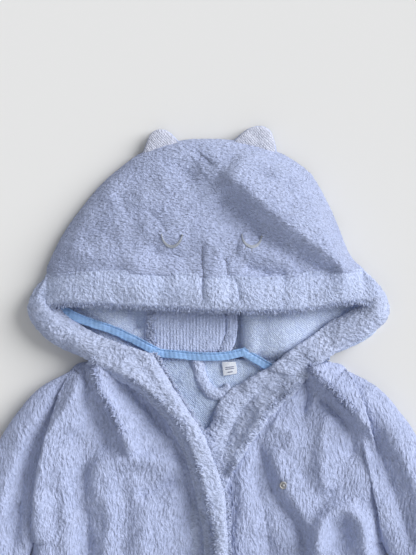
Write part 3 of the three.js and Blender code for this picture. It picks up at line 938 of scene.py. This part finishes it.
RIGHT_BAND_OUT = [(-163, 84), (-173, 73), (-178, 62), (-179, 53), (-175, 41), (-163, 27), (-145, 16),
                  (-122, 6), (-104, -7), (-84, -18)]
RIGHT_BAND_IN = [(-149, 78), (-154, 70), (-156, 61), (-151, 53), (-140, 43), (-122, 31), (-104, 23),
                 (-84, 16), (-66, 10), (-56, 5)]
LEFT_BAND_OUT = [(155, 90), (168, 77), (176, 64), (178, 52), (173, 41), (156, 28), (138, 18),
                 (122, 9), (108, -1), (98, -14)]
LEFT_BAND_IN = [(144, 80), (152, 71), (156, 63), (152, 56), (140, 48), (124, 40), (106, 28),
                (90, 17), (76, 6), (62, -6)]


def add_neck_bands():
    sides = (
        ("right", RIGHT_BAND_OUT, RIGHT_BAND_IN, 25.5, 27.5, 54),
        ("left", LEFT_BAND_OUT, LEFT_BAND_IN, 24.5, 19.0, 40),
    )
    for side, out, inside, corner_top, end_top, wide in sides:
        a = curve(out, steps(out, 1.3))
        b = curve(inside, len(a))

        def height(xy):
            near_out, place_out = line_distance(xy, out)
            near_in, _ = line_distance(xy, inside)
            span = np.abs(near_out) + np.abs(near_in) + 1e-6
            t = np.abs(near_out) / span
            top = corner_top + (end_top - corner_top) * smooth(place_out, 0.5, 0.95)
            top -= 12 * (1 - smooth(place_out, 0.0, 0.2))
            arch = np.sin(np.clip(0.12 + 0.8 * t, 0, 1) * math.pi) ** 0.6
            rolled = 7 + (top - 9) * arch + 0.9 * noise_at(xy, 12, 101)
            lapel = over_band_height(xy) if side == "right" else under_band_height(xy)
            merge = smooth(place_out, 0.58, 0.88)
            return rolled * (1 - merge) + (lapel + 1.2) * merge

        grid = ruled(a, b, height, across=34)
        piece = cloth(f"{side}_neck_band_cloth", grid, 6.0, BAND, tuft=(3.4, 1.4), seed=102)
        place(piece, "hood", [f"{side}_neck_band"], "edge_fleece", (wide, 140),
              rests=[f"hood_back_{side}_cloth"])


TAPE_TOP = 15.6  # height of the tape's middle above the table
TAPE_STEP = 0.9  # spacing of its points along it


def add_tapes():
    runs = (
        ("right_neck_tape", [(-156, 60), (-131, 45), (-92, 31), (-60, 15), (-50, 10)], 7.6),
        ("back_neck_tape", [(-58, 11), (-30, 8), (0, 6), (20, 7.5), (36, 11)], 7.4),
        ("left_neck_tape", [(33, 12), (46, 4), (60, -4), (70, -10)], 7.6),
    )
    for name, route, width in runs:
        line = curve(route, steps(route, TAPE_STEP))
        _, side = directions(line)
        wobble = 0.35 * noise_at(line, 5, 111)
        a = line + side * (width / 2 + wobble)[:, None]
        b = line - side * (width / 2 - wobble)[:, None]

        def height(xy):
            d, where = line_distance(xy, route)
            pucker = 0.16 * np.sin(where * len(line) * TAPE_STEP * 2 * math.pi / 4.6 + 0.4 * d)
            groove = 0.8 * np.exp(-((d - width * 0.34) / 0.8) ** 2)
            return TAPE_TOP + 0.8 * noise_at(xy, 9, 112) + pucker - groove

        grid = ruled(a, b, height, across=16)
        piece = cloth(f"{name}_cloth", grid, 1.2, TAPE, tuft=(1.6, 0.06), seed=113)
        place(piece, "hood", [name], "neck_tape", (10, len(line) * TAPE_STEP))
        edge = line + side * (width * 0.36)
        stitches = [(edge[i], edge[i + 2]) for i in range(2, len(edge) - 4, 3)]
        spots = height(np.array([(p + q) / 2 for p, q in stitches]))
        sew(f"{name}_stitches", stitches, spots + 0.75, 0.2, STITCH, "hood")


THREAD_SIDES = 6


def sew(name, stitches, heights, radius, material, body):
    """Short stitches, each a little arch of thread between its two points."""
    arch = ((0.0, -0.5), (0.15, 0.1), (0.5, 0.3), (0.85, 0.1), (1.0, -0.5))  # how far along, how high
    verts, faces = [], []
    for (start, end), z in zip(stitches, heights):
        along = np.array(end) - np.array(start)
        across = np.array([-along[1], along[0]]) / np.linalg.norm(along)
        faces += capped_tube(len(verts), len(arch), THREAD_SIDES)
        for t, lift in arch:
            for k in range(THREAD_SIDES):
                angle = math.pi * k / 3
                spot = np.array(start) + along * t + across * math.cos(angle) * radius
                verts.append((*spot, z + lift + math.sin(angle) * radius))
    place(make_mesh(name, verts, faces, material), body, [], "thread")


def thread_line(verts, faces, points, radius):
    """Adds a round thread through the points."""
    p = np.array(points, float)
    tangent = np.gradient(p, axis=0)
    tangent /= np.linalg.norm(tangent, axis=1, keepdims=True)
    across = np.cross(tangent, (0, 0, 1))
    across /= np.maximum(np.linalg.norm(across, axis=1, keepdims=True), 1e-6)
    up = np.cross(across, tangent)
    faces += capped_tube(len(verts), len(p), THREAD_SIDES, flip=True)
    for i in range(len(p)):
        for k in range(THREAD_SIDES):
            angle = math.pi * k / 3
            verts.append(p[i] + radius * (across[i] * math.cos(angle) + up[i] * math.sin(angle)))


def add_eye(name, arc, dot):
    """A closed eye: four runs of thread along the lid, a satin dot at its outer end, and three lashes."""
    verts, faces = [], []
    line = curve(arc, 34)
    for shift in (-1.1, -0.4, 0.4, 1.1):
        run = line + (0, shift)
        height = hood_height(run) + 3.0
        zigzag = 0.22 * np.where(np.arange(len(run)) % 2, 1, -1)
        thread_line(verts, faces, np.c_[run[:, 0], run[:, 1] + zigzag, height], 0.46)
    for angle in np.linspace(0, math.pi, 5):
        ends = np.array([dot, dot]) + np.array([[-1, 0], [1, 0]]) * [math.cos(angle), math.sin(angle)] * 1.5
        if abs(math.cos(angle)) < 1e-3:
            ends = np.array([[dot[0], dot[1] - 1.5], [dot[0], dot[1] + 1.5]])
        run = np.linspace(ends[0], ends[1], 4)
        thread_line(verts, faces, np.c_[run, hood_height(run) + 3.3], 0.5)
    for lean, long in ((-5, 4.5), (0, 5.5), (5, 4.5)):
        base = np.array(arc[3]) + (lean, -1.5 + abs(lean) * 0.35)
        run = np.linspace(base, base + (lean * 0.35, -0.6 * long), 5)
        thread_line(verts, faces, np.c_[run, hood_height(run) + 1.9], 0.34)
    place(make_mesh(f"{name}_threads", verts, faces, THREAD), "hood", [name], "thread")


def add_muzzle_stitch(name, route):
    """A swaying run of thread in short stitches that dip in at both ends."""
    verts, faces = [], []
    line = curve(route, 66)
    sway = 0.5 * np.sin(np.arange(66) * 0.9)
    thread = np.c_[line[:, 0] + sway, line[:, 1], hood_height(line) + 3.0]
    for start in range(0, 61, 6):
        stitch = thread[start:start + 5] - ((0, 0, 0.9),) * np.array([[1.0], [0.3], [0.0], [0.3], [1.0]])
        thread_line(verts, faces, stitch, 0.42)
    place(make_mesh(f"{name}_threads", verts, faces, PUCKER), "hood", [name], "thread")


def add_face():
    add_eye("right_eye_embroidery", [(-47, 128), (-45.6, 122.5), (-42, 118), (-37, 116), (-32, 117.6),
                                     (-28.4, 122), (-26.8, 126)], (-26.5, 127))
    add_eye("left_eye_embroidery", [(32.6, 128), (33.8, 122.5), (37.5, 118), (42.5, 116), (47.5, 117.5),
                                    (51, 121.5), (52, 125)], (52.3, 126))
    add_muzzle_stitch("right_muzzle_stitch", MUZZLE_LEFT)
    add_muzzle_stitch("left_muzzle_stitch", MUZZLE_RIGHT)


# ---- ears ----

# each ear's outline over its round edge, and the seam that it grows from
EARS = {
    "right": ([(-68, 206), (-65, 212), (-61, 223), (-57, 230), (-50, 233.5), (-43, 232), (-37, 228),
               (-28, 219)],
              [(-68, 206), (-60, 207), (-54, 208), (-48, 209), (-43, 210), (-38, 211), (-33, 213),
               (-28, 219)]),
    "left": ([(22, 219), (31, 228), (42, 235), (50, 236.5), (57, 235.5), (62, 231), (65, 224), (68, 208)],
             [(22, 219), (28, 214), (34, 212), (41, 211), (48, 210), (55, 209), (61, 208), (68, 208)]),
}
EAR_LAYERS = (("back", 5.6, 0.4, 1.0, BAND, "edge_fleece"), ("front", 9.4, 2.4, 0.93, EAR, "ear_terry"))


def add_ears():
    for side, (arc, base) in EARS.items():
        a, b = curve(arc, 64), curve(base, 64)
        middle = np.mean(arc, axis=0)
        for layer, low, puff, scale, material, slot in EAR_LAYERS:

            def height(xy):
                d, _ = line_distance(xy, arc)
                return low + puff * roll(np.abs(d), 9) + 0.5 * noise_at(xy, 7, 121)

            top = middle + (a - middle) * scale
            grid = ruled(top, b, height, across=26)
            piece = cloth(f"{side}_ear_{layer}_cloth", grid, 3.2, material, tuft=(2.3, 0.7), seed=122,
                          comb=(1.8, 1))
            place(piece, f"{side}_ear", [f"{side}_ear_{layer}"], slot, (44, 28), between(top, b),
                  joined=EAR_BEND)


# ---- label, hanger loop and popper ----

def add_label():
    def height(xy):
        return 11.4 + 0.5 * np.cos(xy[:, 0] * 0.32) + 0.04 * (xy[:, 1] + 14) ** 1.4

    a = curve([(13, 0.5), (14, -6), (14.6, -13)], 18)
    b = curve([(26.6, 0.5), (27.4, -5), (28.0, -10.8)], 18)
    grid = ruled(a, b, height, across=18)
    piece = cloth("size_label_cloth", grid, 0.7, LABEL, tuft=(1.2, 0.02), seed=131)
    place(piece, "label", ["size_label"], "label", (14, 14), joined=LABEL_BEND)
    marks = [((16, y - 0.6), (25.4, y + 0.6)) for y in (-4.4, -6.2)] + [((18.4, -9.7), (24, -9.0))]
    lines = [(np.array(p), np.array(q)) for p, q in marks]
    heights = [float(height(np.array([p]))[0]) + 0.3 for p, _ in lines]
    sew("size_label_marks", lines, heights, 0.55, PUCKER, "label")


def add_loop():
    route = [(-12, 3), (-10, -8), (-7, -18), (-2, -26), (5, -31), (14, -31), (21, -26)]
    line = curve(route, 70)
    _, side = directions(line)
    half = 5.0

    def height(xy):
        d, _ = line_distance(xy, route)
        return 10.4 + 3.6 * np.sqrt(np.maximum(1 - (d / 5.6) ** 2, 0))

    grid = ruled(line + side * half, line - side * half, height, across=12)
    piece = cloth("hanger_loop_cloth", grid, 3.4, BRIM, tuft=(2.8, 1.0), seed=133)
    place(piece, "loop", ["hanger_loop"], "inner_terry", (10, 64), joined=LOOP_BEND)


def lathe(name, centre, profile, material, body, nodes):
    """A turned piece about an upright line through centre."""
    around = 40
    verts = []
    for radius, z in profile:
        for k in range(around):
            angle = 2 * math.pi * k / around
            verts.append((centre[0] + radius * math.cos(angle), centre[1] + radius * math.sin(angle),
                          centre[2] + z))
    faces = capped_tube(0, len(profile), around)
    place(make_mesh(name, verts, faces, material), body, nodes, "popper")


def add_poppers():
    stud = np.array([(74.0, -122.0)])
    ring = [(3.8, -2.5), (4.0, 0.0), (3.8, 0.8), (3.4, 1.2), (2.8, 1.2), (2.4, 0.8), (2.1, 0.2), (1.7, 0.2),
            (1.4, 1.0), (1.0, 1.5), (0.4, 1.7)]
    lathe("popper_stud_ring", (*stud[0], float(under_height(stud)[0]) + 2.6), ring, METAL, "left_front",
          ["popper_stud"])
    socket = [(4.0, 0.0), (4.2, 0.6), (4.1, 1.4), (3.6, 1.9), (2.6, 1.9), (2.0, 1.5), (1.0, 1.4)]
    lathe("popper_socket_cap", (2, -122, 18.9), socket, METAL, "right_front", ["popper_socket"])


# ---- fringe: locks of pile along the fluffy edges and ridges ----

LOCK_RINGS = ((0.0, 1.0), (0.4, 0.9), (0.75, 0.6))  # how far along a lock, and how wide there
LOCK_SIDES = 4


def fringe(name, route, height, count, length, lean, material, body, seed, spread=1.5, outward=0.0,
           joined=None):
    """Tapered locks of pile along a line in the plan, pointing to its left when lean is positive."""
    rng = np.random.default_rng(seed)
    line = curve(route, ROUTE_POINTS)
    tangent, side = directions(line)
    verts, faces = [], []
    spots = rng.integers(0, ROUTE_POINTS, count)
    offset = rng.uniform(-spread, spread, count) + (outward - 0.8) * np.sign(lean)
    roots = line[spots] + side[spots] * offset[:, None]
    heights = height(roots) + rng.uniform(-1.2, 1.0, count)
    for i, root, z in zip(spots, roots, heights):
        turn = rng.normal(0, 0.55)
        out = side[i] * np.sign(lean) * math.cos(turn) + tangent[i] * math.sin(turn)
        long = length * rng.uniform(0.55, 1.25)
        rise = rng.uniform(-0.25, 0.5)
        wide = rng.uniform(0.45, 0.85)
        bend = rng.normal(0, 0.25)
        first = len(verts)
        for t, share in LOCK_RINGS:
            centre = np.array([*(root + out * long * t + tangent[i] * bend * long * t * t),
                               z + rise * long * t * abs(lean)])
            for k in range(LOCK_SIDES):
                angle = math.pi * k / 2 + 0.6
                c, s = math.cos(angle), math.sin(angle)
                verts.append(centre + wide * share * np.array([tangent[i][0] * c, tangent[i][1] * c, s]))
        tip = root + out * long + tangent[i] * bend * long
        verts.append(np.array([*tip, z + rise * long * abs(lean) - 0.3]))
        faces += tube(first, len(LOCK_RINGS), LOCK_SIDES)
        last = first + LOCK_SIDES * (len(LOCK_RINGS) - 1)
        for k in range(LOCK_SIDES):
            faces.append((last + k, last + (k + 1) % LOCK_SIDES, last + LOCK_SIDES))
        faces.append((first + 3, first + 2, first + 1, first))
    verts = np.array(verts)
    verts[:, 2] = np.maximum(verts[:, 2], 0.05)
    place(make_mesh(name, verts, faces, material), body, [], "edge_fleece", joined=joined)


def add_fringes():
    def above(height, lift):
        return lambda xy: height(xy) + lift

    fringe("brim_fringe", MOUTH[::-1], above(brim_height, 1.2), 4200, 5.4, 0.4, BRIM, "hood", seed=1,
           spread=2.6, outward=1.4)
    for name, route, seed in (("right", [(-58, 112), (-58, 40), (-57, 20), (-50, 9)], 15),
                              ("left", [(22, 112), (22, 40), (20, 24), (11, 10)], 16)):
        fringe(f"gusset_{name}_edge_fringe", route, lambda xy: 13.6 + 0 * xy[:, 0], 1500, 3.0, -0.4, BRIM,
               "hood", seed=seed, spread=4.0, joined=NECK_BEND)
    fringe("over_edge_fringe", OVER_EDGE[:7], above(over_band_height, 0.5), 1500, 3.6, 0.5, BAND,
           "right_front", seed=2, outward=2.4)
    fringe("over_ridge_fringe", OVER_RIDGE[:7], above(over_band_height, 1.4), 2400, 4.8, -0.5, BAND,
           "right_front", seed=3, spread=3.0)
    fringe("chest_ridge_fringe", [(-116, 0), (-107, -26), (-95, -47), (-86, -68)], above(over_height, 1.6),
           700, 4.8, -0.5, FLEECE, "right_front", seed=7, spread=3.0, joined=RIGHT_SIDE_BEND)
    fringe("shoulder_ridge_fringe", [(100, -2), (118, -20), (132, -34), (145, -47)],
           above(under_height, 1.6), 750, 4.6, -0.5, FLEECE, "left_front", seed=8, spread=3.5,
           joined=LEFT_SIDE_BEND)
    fringe("under_ridge_fringe", [(90, -18), (60, -44), (36, -78), (18, -112)],
           above(under_band_height, 1.8), 900, 4.0, 0.5, BAND, "left_front", seed=6, spread=3.0)


# ---- floor, light and camera ----

def add_stage():
    # a round floor that runs out to a horizon of its own colour, in metres
    radii = (0.001, 2.0, 8.0, 90.0)
    around = 64
    turns = [2 * math.pi * k / around for k in range(around)]
    verts = [(r * math.cos(turn), r * math.sin(turn), 0.0) for r in radii for turn in turns]
    faces = tube(0, len(radii), around)
    faces.append(tuple(range(around)))
    mesh = bpy.data.meshes.new("floor")
    mesh.from_pydata(verts, [], faces)
    mesh.polygons.foreach_set("use_smooth", np.ones(len(mesh.polygons), bool))
    floor = bpy.data.objects.new("floor", mesh)
    bpy.context.scene.collection.objects.link(floor)
    material, _, shader = nodes_of("floor")
    put(shader, Base_Color=(0.78, 0.78, 0.775, 1), Roughness=0.95, Specular_IOR_Level=0.0)
    mesh.materials.append(material)
    for name, strength, spread, toward in (
            ("key", 3.75, 46, (1.0, 0.45, 0.62)),
            ("fill", 0.42, 80, (-0.1, -0.9, 0.8)),
    ):
        lamp = bpy.data.lights.new(name, "SUN")
        lamp.energy = strength
        lamp.angle = math.radians(spread)
        light = bpy.data.objects.new(name, lamp)
        light.rotation_euler = Vector(toward).to_track_quat("Z", "Y").to_euler()
        light.location = Vector(toward)
        bpy.context.scene.collection.objects.link(light)
    world = bpy.data.worlds.new("studio")
    world.use_nodes = True
    tree = world.node_tree
    direction = tree.nodes.new("ShaderNodeTexCoord")
    height = tree.nodes.new("ShaderNodeSeparateXYZ")
    tree.links.new(direction.outputs["Generated"], height.inputs[0])
    sky = ramp(tree, height.outputs["Z"], [(0.0, (0.77, 0.775, 0.78)), (0.08, (0.70, 0.705, 0.715)),
                                           (0.30, (0.31, 0.315, 0.325)), (1.0, (0.31, 0.315, 0.325))])
    tree.links.new(sky, tree.nodes["Background"].inputs["Color"])
    bpy.context.scene.world = world
    bpy.context.scene.view_settings.view_transform = "Standard"


def add_camera():
    lens = bpy.data.cameras.new("camera")
    lens.sensor_fit = "AUTO"
    lens.sensor_width = 36
    lens.lens = 36 * (CAMERA_HEIGHT - 0.02) / VIEW_LENGTH
    lens.clip_start = 0.05
    camera = bpy.data.objects.new("camera", lens)
    camera.location = (VIEW_CENTRE[0], VIEW_CENTRE[1], CAMERA_HEIGHT)
    bpy.context.scene.collection.objects.link(camera)
    bpy.context.scene.camera = camera


add_camera()
add_stage()
add_back()
add_fronts()
add_bands()
add_sleeve("right", False)
add_sleeve("left", True)
add_hood_back()
add_hood()
add_neck_bands()
add_tapes()
add_face()
add_ears()
add_label()
add_loop()
add_poppers()
add_fringes()
